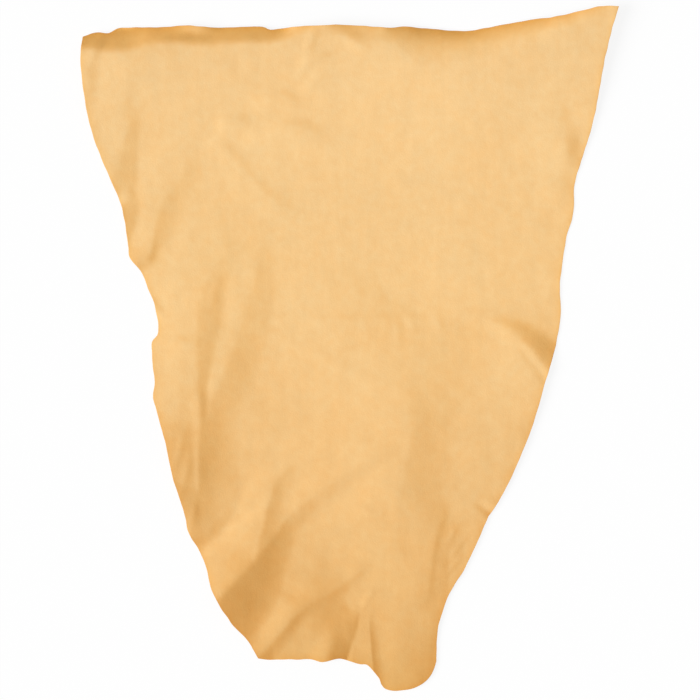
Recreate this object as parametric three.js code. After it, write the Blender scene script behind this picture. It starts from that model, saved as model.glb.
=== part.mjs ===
// A whole chamois skin, lying loosely on a flat surface with the folds that it was laid down in.
// It is one undivided piece of leather: no seam, hem, patch or fitting.
// Millimetres, +Z up. X runs across the skin and Y from its neck to the straight rump edge.
// The origin lies on the surface, under the middle of the skin.

import * as THREE from 'three';

// Driving dimensions
const SKIN_WIDTH = 614; // across the rump, from corner to corner
const SKIN_LENGTH = 782; // from the higher rump corner to the tip of the neck
const SKIN_THICKNESS = 1; // soft leather, shaved to an even thickness

// Edges of the skin: points in percent of its width and length, measured from its middle
const RUMP_EDGE = [
  [-49.7, 45.5], [-46.9, 46.2], [-44.9, 46.1], [-42.8, 46.9], [-36.1, 46.9], [-30.7, 47.2], [-24.4, 46.9],
  [-16.2, 47.0], [-14.9, 46.6], [-11.1, 46.9], [-2.7, 47.3], [7.5, 46.9], [10.1, 47.0], [16.6, 46.6],
  [21.7, 46.4], [25.0, 46.8], [31.2, 47.7], [39.2, 48.6], [42.9, 49.3], [47.2, 50.0], [50.0, 50.0],
];
const RIGHT_FLANK = [
  [50.0, 50.0], [48.9, 47.2], [47.4, 42.3], [46.3, 37.3], [45.0, 32.3], [43.1, 27.5], [41.9, 24.1],
  [41.6, 19.7], [40.3, 16.1], [39.2, 9.8], [39.2, 4.5], [37.7, -1.5], [36.2, -5.2], [34.3, -10.6],
  [31.2, -16.7], [29.1, -20.2], [26.5, -23.8], [25.8, -24.5], [23.7, -28.3], [21.3, -32.2], [18.3, -36.2],
  [16.4, -41.0], [16.1, -45.7],
];
const NECK_EDGE = [
  [-17.1, -45.2], [-15.2, -45.4], [-7.0, -45.4], [-5.2, -45.7], [-2.0, -45.3], [1.9, -46.1], [3.2, -46.2],
  [4.6, -47.3], [5.5, -48.2], [5.8, -49.0], [6.6, -49.7], [8.6, -50.0], [12.5, -49.4], [14.2, -48.5],
  [15.4, -47.3], [16.1, -45.7],
];
const LEFT_FLANK = [
  [-49.7, 45.5], [-50.0, 43.1], [-49.9, 40.6], [-48.8, 34.1], [-46.9, 29.1], [-44.6, 24.8], [-42.5, 20.6],
  [-41.3, 15.0], [-41.1, 13.4], [-39.0, 11.4], [-37.5, 8.7], [-36.4, 6.4], [-35.7, 2.2], [-36.8, 1.1],
  [-36.9, -0.5], [-36.4, -5.0], [-36.6, -7.1], [-35.4, -10.6], [-34.0, -15.0], [-32.9, -18.9],
  [-30.7, -24.3], [-30.0, -27.0], [-27.7, -30.0], [-26.5, -32.7], [-25.8, -34.9], [-24.6, -36.9],
  [-21.6, -40.5], [-19.0, -42.6], [-17.1, -45.2],
];

// Folds: height is how far the crest stands up, and left and right are how far its flanks reach,
// seen by someone who walks along the crest. Each crest point has its place in percent, as the edges
// have, and a share of the height.
const RUMP_ROLL = {
  height: 14, left: 26, right: 120,
  crest: [[-49.5, 42.5, 0.65], [-41.0, 43.4, 0.9], [-27.9, 43.7, 1], [-16.7, 44.2, 0.85], [-7.4, 44.6, 0.5],
    [1.9, 44.0, 0.45], [11.2, 42.3, 0.7], [20.5, 41.7, 0.9], [29.9, 43.7, 0.85], [39.2, 45.8, 0.65],
    [47.0, 48.1, 0.35]],
};
const NECK_SWELL = {
  height: 10, left: 50, right: 55,
  crest: [[8.2, -46.3, 0.7], [7.9, -39.7, 1], [8.4, -30.9, 1], [9.7, -20.7, 0.8], [11.2, -11.9, 0.6],
    [11.6, -6.3, 0]],
};
const LEFT_MARGIN = {
  height: 9, left: 25, right: 20,
  crest: [[-43.6, 24.0, 0.9], [-42.1, 27.6, 1], [-42.1, 33.5, 0.65], [-44.3, 40.1, 0]],
};
const LEFT_TUCK = {
  height: 11, left: 25, right: 30,
  crest: [[-37.8, 12.7, 0.9], [-36.5, 16.6, 1], [-34.8, 21.0, 0.7], [-30.7, 25.9, 0.35], [-25.7, 29.8, 0]],
};
const FLANK_FOLD = {
  height: 10, left: 70, right: 24,
  crest: [[-27.9, -9.7, 0], [-28.3, -5.3, 0.5], [-28.5, -0.2, 0.9], [-27.9, 4.2, 1], [-26.6, 9.8, 0.8],
    [-23.8, 12.7, 0.4], [-21.4, 16.2, 0]],
};
const MIDDLE_FOLD = {
  height: 9, left: 20, right: 32,
  crest: [[-26.4, -9.7, 0.35], [-23.8, -6.0, 0.8], [-21.2, 0.5, 1], [-19.9, 4.9, 0.9], [-18.2, 8.6, 0.65],
    [-16.4, 13.7, 0]],
};
const LOWER_FLANK_FOLD = {
  height: 10, left: 35, right: 40,
  crest: [[-29.0, -24.3, 0.3], [-28.5, -19.2, 0.8], [-28.1, -14.8, 1], [-27.5, -11.2, 0.8], [-26.4, -8.2, 0]],
};
const GREAT_PLEAT = {
  height: 16, left: 42, right: 46,
  crest: [[-24.7, -36.8, 0.75], [-21.2, -33.9, 0.95], [-17.5, -30.5, 1], [-15.2, -28.0, 0.9],
    [-12.3, -25.1, 0.65], [-8.3, -22.6, 0.5], [-1.8, -18.3, 0.3], [5.3, -15.1, 0]],
};
const UPPER_PLEAT = {
  height: 9, left: 34, right: 16,
  crest: [[-16.4, -22.1, 0.65], [-14.1, -19.2, 1], [-11.7, -17.3, 0.9], [-7.8, -16.3, 0.55],
    [-2.7, -14.2, 0]],
};
const LOWER_PLEAT = {
  height: 12, left: 40, right: 22,
  crest: [[-16.4, -44.4, 0.75], [-11.5, -40.3, 1], [-8.9, -38.1, 0.9], [-2.2, -35.3, 0.65], [2.3, -31.8, 0]],
};
const NECK_PLEAT = {
  height: 10, left: 25, right: 14,
  crest: [[-4.1, -45.0, 0.9], [-2.6, -42.3, 1], [-0.9, -39.7, 0.5], [0.4, -36.8, 0]],
};
const RIGHT_PLEAT = {
  height: 12, left: 12, right: 26,
  crest: [[37.1, -3.1, 1], [34.5, -0.8, 0.85], [31.7, 1.3, 0.5], [28.0, 3.3, 0]],
};

// Broad swells add up, and the pleats that cross them stand side by side
const SWELLS = [RUMP_ROLL, NECK_SWELL];
const PLEATS = [
  LEFT_MARGIN, LEFT_TUCK, FLANK_FOLD, MIDDLE_FOLD, LOWER_FLANK_FOLD, GREAT_PLEAT, UPPER_PLEAT, LOWER_PLEAT,
  NECK_PLEAT, RIGHT_PLEAT,
];
const CREST_STEPS = 24;

// Facets: closer together at the rump roll and in the pleated lower left, as shares of the edges' lengths
const COLUMN_BANDS = [{ to: 0.5, count: 11 }, { to: 1, count: 7 }];
const ROW_BANDS = [{ to: 0.06, count: 3 }, { to: 0.42, count: 8 }, { to: 1, count: 20 }];

const suede = new THREE.MeshStandardMaterial({
  name: 'suede',
  color: 0xf0c383,
  roughness: 0.95,
  metalness: 0,
});

// A place given in percent of the skin's size, in millimetres
function place([across, along, height = 0]) {
  return new THREE.Vector3(across / 100 * SKIN_WIDTH, along / 100 * SKIN_LENGTH, height);
}

function curveThrough(points) {
  return new THREE.CatmullRomCurve3(points.map(place), false, 'centripetal');
}

const rump = curveThrough(RUMP_EDGE);
const neck = curveThrough(NECK_EDGE);
const leftFlank = curveThrough(LEFT_FLANK);
const rightFlank = curveThrough(RIGHT_FLANK);

// The plan of the skin: a patch stretched between the four edges, both shares running from 0 to 1
function planPoint(across, down) {
  const between = rump.getPointAt(across).lerp(neck.getPointAt(across), down);
  const along = leftFlank.getPointAt(down).lerp(rightFlank.getPointAt(down), across);
  const upper = place(RUMP_EDGE[0]).lerp(place(RUMP_EDGE.at(-1)), across);
  const lower = place(NECK_EDGE[0]).lerp(place(NECK_EDGE.at(-1)), across);
  return between.add(along).sub(upper.lerp(lower, down));
}

// The section of a fold's flank: 1 at the crest, level there and at its foot
function flankSection(share) {
  const rest = 1 - Math.min(share, 1);
  return rest * rest * (3 - 2 * rest);
}

// How far one fold lifts the skin at a point of the plan
function foldLift(fold, point) {
  let nearest = Infinity;
  let lift = 0;
  for (let i = 0; i < CREST_STEPS; i += 1) {
    const start = fold.line[i];
    const step = fold.line[i + 1].clone().sub(start);
    const reach = point.clone().sub(start);
    const travelled = (reach.x * step.x + reach.y * step.y) / (step.x ** 2 + step.y ** 2);
    const share = THREE.MathUtils.clamp(travelled, 0, 1);
    const distance = Math.hypot(reach.x - step.x * share, reach.y - step.y * share);
    if (distance < nearest) {
      const isLeft = step.x * reach.y - step.y * reach.x > 0;
      const flank = isLeft ? fold.left : fold.right;
      nearest = distance;
      lift = fold.height * (start.z + step.z * share) * flankSection(distance / flank);
    }
  }
  return lift;
}

for (const fold of [...SWELLS, ...PLEATS]) {
  fold.line = curveThrough(fold.crest).getPoints(CREST_STEPS);
}

// Height of the underside over the surface that the skin lies on: 0 where it rests
function lift(point) {
  const swell = SWELLS.reduce((sum, fold) => sum + foldLift(fold, point), 0);
  const pleat = PLEATS.reduce((most, fold) => Math.max(most, foldLift(fold, point)), 0);
  return swell + pleat;
}

// Shares from 0 to 1, evenly spaced within each band
function stations(bands) {
  const list = [0];
  for (const { to, count } of bands) {
    const from = list.at(-1);
    for (let i = 1; i <= count; i += 1) {
      list.push(from + (to - from) * i / count);
    }
  }
  return list;
}

// The underside: a plane whose points are drawn out to the plan and lifted over the folds
function undersideGeometry(columns, rows) {
  const plane = new THREE.PlaneGeometry(1, 1, columns.length - 1, rows.length - 1);
  const points = plane.attributes.position;
  rows.forEach((down, row) => {
    columns.forEach((across, column) => {
      const point = planPoint(across, down);
      points.setXYZ(row * columns.length + column, point.x, point.y, lift(point));
    });
  });
  plane.computeVertexNormals();
  return plane;
}

// Points along the border of the grid, once round
function borderLoop(columnCount, rowCount) {
  const lastColumn = columnCount - 1;
  const lastRow = rowCount - 1;
  const loop = [];
  for (let i = 0; i < lastColumn; i += 1) {
    loop.push(i);
  }
  for (let i = 0; i < lastRow; i += 1) {
    loop.push(i * columnCount + lastColumn);
  }
  for (let i = lastColumn; i > 0; i -= 1) {
    loop.push(lastRow * columnCount + i);
  }
  for (let i = lastRow; i > 0; i -= 1) {
    loop.push(i * columnCount);
  }
  return loop;
}

// The closed skin: the underside, the napped face one thickness above it, and the cut edge between them
function skinGeometry() {
  const columns = stations(COLUMN_BANDS);
  const rows = stations(ROW_BANDS);
  const underside = undersideGeometry(columns, rows);
  const low = underside.attributes.position;
  const normal = underside.attributes.normal;
  const count = low.count;
  const vertices = new Float32Array(count * 2 * 3);
  const point = new THREE.Vector3();
  const offset = new THREE.Vector3();
  for (let i = 0; i < count; i += 1) {
    point.fromBufferAttribute(low, i).toArray(vertices, i * 3);
    offset.fromBufferAttribute(normal, i).multiplyScalar(SKIN_THICKNESS);
    point.add(offset).toArray(vertices, (count + i) * 3);
  }
  const faces = [];
  const grid = underside.index.array;
  for (let i = 0; i < grid.length; i += 3) {
    const [a, b, c] = grid.slice(i, i + 3);
    faces.push(a, c, b, count + a, count + b, count + c);
  }
  const loop = borderLoop(columns.length, rows.length);
  loop.forEach((here, i) => {
    const next = loop[(i + 1) % loop.length];
    faces.push(count + here, count + next, next, count + here, next, here);
  });
  const skin = new THREE.BufferGeometry();
  skin.setAttribute('position', new THREE.BufferAttribute(vertices, 3));
  skin.setIndex(faces);
  skin.computeVertexNormals();
  return skin;
}

const geometry = skinGeometry();
geometry.computeBoundingBox();
const middle = geometry.boundingBox.getCenter(new THREE.Vector3());

const skin = new THREE.Mesh(geometry, suede);
skin.name = 'chamois_skin';
skin.position.set(-middle.x, -middle.y, 0);

const group = new THREE.Group();
group.add(skin);

export default group;
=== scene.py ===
"""Looks of a whole chamois skin that lies loosely on a flat surface.

The skin is one piece of ochre suede. Its plan is stretched between its four cut edges, its folds lift it off
the surface, and it then gets its thickness, a rounded cut edge and a napped finish.
Lengths are in metres unless a name or comment says millimetres or percent.
"""

import logging
import math
from dataclasses import dataclass
from enum import Enum
from typing import Any

import bpy
import numpy as np
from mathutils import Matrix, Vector, noise


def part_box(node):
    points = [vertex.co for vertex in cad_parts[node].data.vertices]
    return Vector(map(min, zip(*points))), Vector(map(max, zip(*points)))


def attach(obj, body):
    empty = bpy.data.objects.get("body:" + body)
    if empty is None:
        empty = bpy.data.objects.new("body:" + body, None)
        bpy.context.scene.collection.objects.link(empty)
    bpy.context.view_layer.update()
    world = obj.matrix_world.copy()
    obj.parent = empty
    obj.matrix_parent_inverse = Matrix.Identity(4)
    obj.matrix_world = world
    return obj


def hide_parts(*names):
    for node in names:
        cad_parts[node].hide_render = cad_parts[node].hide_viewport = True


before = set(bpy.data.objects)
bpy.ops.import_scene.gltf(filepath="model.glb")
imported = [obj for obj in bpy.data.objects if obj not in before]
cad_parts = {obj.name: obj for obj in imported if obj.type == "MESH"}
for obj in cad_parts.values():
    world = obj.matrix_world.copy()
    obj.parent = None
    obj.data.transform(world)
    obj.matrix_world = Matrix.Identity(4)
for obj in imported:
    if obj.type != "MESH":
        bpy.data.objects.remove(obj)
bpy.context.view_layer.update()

log = logging.getLogger("chamois")

PlanPoint = tuple[float, float]
CrestPoint = tuple[float, float, float, float, float]
Colour = tuple[float, float, float, float]

MILLIMETRE = 0.001
FULL_PERCENT = 100.0
SKIN_NODE = "chamois_skin"
BODY = "root"
WHITE: Colour = (1.0, 1.0, 1.0, 1.0)

# Steps between two points of a fold's crest
SPAN_STEPS = 5

# Values on the skin's points, which its finish reads
# Painted shade and painted light, worked out from the slopes of the folds and their hollows
PAINTED_SHADE_AND_LIGHT = "painted_shade_and_light"
RIM = "rim"

# Sockets of a Mix node that mixes colours
MIX_FACTOR = 0
MIX_FIRST = 6
MIX_SECOND = 7
MIX_RESULT = 2

# How a screen shows a colour: along a straight toe, then along a power curve
SCREEN_FULL = 255.0
TOE_END = 0.04045
TOE_SLOPE = 12.92
CURVE_SHIFT = 0.055
CURVE_POWER = 2.4

# Edges of the skin: points in percent of its width and length, measured from its middle
RUMP_EDGE: tuple[PlanPoint, ...] = (
    (-49.7, 45.5), (-46.9, 46.2), (-44.9, 46.1), (-42.8, 46.9), (-36.1, 46.9), (-30.7, 47.2), (-24.4, 46.9),
    (-16.2, 47.0), (-14.9, 46.6), (-11.1, 46.9), (-2.7, 47.3), (7.5, 46.9), (10.1, 47.0), (16.6, 46.6),
    (21.7, 46.4), (25.0, 46.8), (31.2, 47.7), (39.2, 48.6), (42.9, 49.3), (47.2, 50.0), (50.0, 50.0),
)
RIGHT_FLANK: tuple[PlanPoint, ...] = (
    (50.0, 50.0), (48.9, 47.2), (47.4, 42.3), (46.3, 37.3), (45.0, 32.3), (43.1, 27.5), (41.9, 24.1),
    (41.6, 19.7), (40.3, 16.1), (39.2, 9.8), (39.2, 4.5), (37.7, -1.5), (36.2, -5.2), (34.3, -10.6),
    (31.2, -16.7), (29.1, -20.2), (26.5, -23.8), (25.8, -24.5), (23.7, -28.3), (21.3, -32.2), (18.3, -36.2),
    (16.4, -41.0), (16.1, -45.7),
)
NECK_EDGE: tuple[PlanPoint, ...] = (
    (-17.1, -45.2), (-15.2, -45.4), (-7.0, -45.4), (-5.2, -45.7), (-2.0, -45.3), (1.9, -46.1), (3.2, -46.2),
    (4.6, -47.3), (5.5, -48.2), (5.8, -49.0), (6.6, -49.7), (8.6, -50.0), (12.5, -49.4), (14.2, -48.5),
    (15.4, -47.3), (16.1, -45.7),
)
LEFT_FLANK: tuple[PlanPoint, ...] = (
    (-49.7, 45.5), (-50.0, 43.1), (-49.9, 40.6), (-48.8, 34.1), (-46.9, 29.1), (-44.6, 24.8), (-42.5, 20.6),
    (-41.3, 15.0), (-41.1, 13.4), (-39.0, 11.4), (-37.5, 8.7), (-36.4, 6.4), (-35.7, 2.2), (-36.8, 1.1),
    (-36.9, -0.5), (-36.4, -5.0), (-36.6, -7.1), (-35.4, -10.6), (-34.0, -15.0), (-32.9, -18.9),
    (-30.7, -24.3), (-30.0, -27.0), (-27.7, -30.0), (-26.5, -32.7), (-25.8, -34.9), (-24.6, -36.9),
    (-21.6, -40.5), (-19.0, -42.6), (-17.1, -45.2),
)


class Section(Enum):
    """How a fold's flank falls from its crest to its foot."""

    ROUND = "level at the crest and at the foot"
    FIRM = "nearly sharp at the crest, level at the foot"
    CREASED = "sharp at the crest, level at the foot"
    ROLLED = "level at the crest, sharp at the foot"
    PLANE = "sharp at the crest and at the foot"

    def fall(self, share: np.ndarray) -> np.ndarray:
        """Gives how much of the crest's height is left on the way down.

        Args:
            share: Distances from the crest as shares of the flank's reach.

        Returns:
            Shares of the height, 1 at the crest and 0 from the foot on.
        """
        rest = 1.0 - np.clip(share, 0.0, 1.0)
        rounded = rest * rest * (3.0 - 2.0 * rest)
        creased = rest * rest
        if self is Section.ROUND:
            return rounded
        if self is Section.FIRM:
            return (rounded + creased) / 2.0
        if self is Section.CREASED:
            return creased
        if self is Section.ROLLED:
            return rest * (2.0 - rest)
        return rest


@dataclass(frozen=True)
class Fold:
    """One fold of the skin, as someone sees it who walks along its crest.

    Attributes:
        left: How the flank on the left hand falls.
        right: How the flank on the right hand falls.
        crest: Points of the crest: percent across and along the skin, then the height and the reach of the
            left and right flank in millimetres. A height below 0 is a crease that is pressed in.
    """

    left: Section
    right: Section
    crest: tuple[CrestPoint, ...]

    def lift(self, points: np.ndarray, size: np.ndarray) -> np.ndarray:
        """Works out how far the fold lifts the skin.

        Args:
            points: Points of the plan, an array whose last axis is x and y.
            size: Width and length of the skin.

        Returns:
            The lift at each point.
        """
        scale = np.array([*(size / FULL_PERCENT), MILLIMETRE, MILLIMETRE, MILLIMETRE])
        line = curve_through(np.array(self.crest) * scale, SPAN_STEPS * (len(self.crest) - 1))
        nearest, is_left, traits = self._follow(line, points)
        height, left_reach, right_reach = np.moveaxis(traits, -1, 0)
        left = self.left.fall(nearest / np.maximum(left_reach, MILLIMETRE))
        right = self.right.fall(nearest / np.maximum(right_reach, MILLIMETRE))
        return self._fade(height, line, points, nearest) * np.where(is_left, left, right)

    @staticmethod
    def _follow(line: np.ndarray, points: np.ndarray) -> tuple[np.ndarray, np.ndarray, np.ndarray]:
        """Follows the crest and measures the points against it.

        The distance is that to the nearest piece of the crest. Height and reaches are those of the whole
        crest, the near pieces counting most, so that the lift changes smoothly inside a bend.

        Args:
            line: The crest's curve, with its height and reaches.
            points: Points of the plan.

        Returns:
            The points' distances from the crest, whether they lie on its left hand, and the height and the
            left and right reach that hold there.
        """
        nearest = np.full(points.shape[:-1], np.inf)
        is_left = np.zeros(points.shape[:-1], dtype=bool)
        weights = np.zeros(points.shape[:-1])
        traits = np.zeros((*points.shape[:-1], 3))
        for start, end in zip(line[:-1], line[1:]):
            step = end - start
            reach = points - start[:2]
            share = np.clip(reach @ step[:2] / (step[:2] @ step[:2]), 0.0, 1.0)
            distance = np.hypot(reach[..., 0] - share * step[0], reach[..., 1] - share * step[1])
            closer = distance < nearest
            nearest = np.where(closer, distance, nearest)
            is_left = np.where(closer, step[0] * reach[..., 1] > step[1] * reach[..., 0], is_left)
            weight = math.hypot(step[0], step[1]) / (distance ** 2 + MILLIMETRE ** 2) ** 2
            weights += weight
            traits += weight[..., None] * (start[2:] + share[..., None] * step[2:])
        return nearest, is_left, traits / weights[..., None]

    @staticmethod
    def _fade(height: np.ndarray, line: np.ndarray, points: np.ndarray, nearest: np.ndarray) -> np.ndarray:
        """Lets the fold fade out past the ends of its crest.

        Args:
            height: The crest's height as it holds at each point.
            line: The crest's curve.
            points: Points of the plan.
            nearest: Their distances from the crest.

        Returns:
            The heights, lower past the ends and 0 straight ahead of them.
        """
        for tip, inner in ((line[0], line[1]), (line[-1], line[-2])):
            outward = (tip - inner)[:2] / math.dist(tip[:2], inner[:2])
            away = np.maximum(np.hypot(*np.moveaxis(points - tip[:2], -1, 0)), MILLIMETRE)
            past = np.clip((points - tip[:2]) @ outward / away, 0.0, 1.0)
            height = np.where(away <= nearest + MILLIMETRE, height * (1.0 - past ** 2), height)
        return height


def wrinkle(height: float, left: float, right: float, *line: PlanPoint) -> Fold:
    """Makes a small fold that fades out at both ends.

    Args:
        height: Its height in millimetres, below 0 for a crease that is pressed in.
        left: Reach of its left flank in millimetres.
        right: Reach of its right flank in millimetres.
        line: Points of its crest in percent.

    Returns:
        The fold.
    """
    last = len(line) - 1
    crest = ((*point, height * math.sin(math.pi * i / last), left, right) for i, point in enumerate(line))
    return Fold(Section.ROUND, Section.ROUND, tuple(crest))


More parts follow.
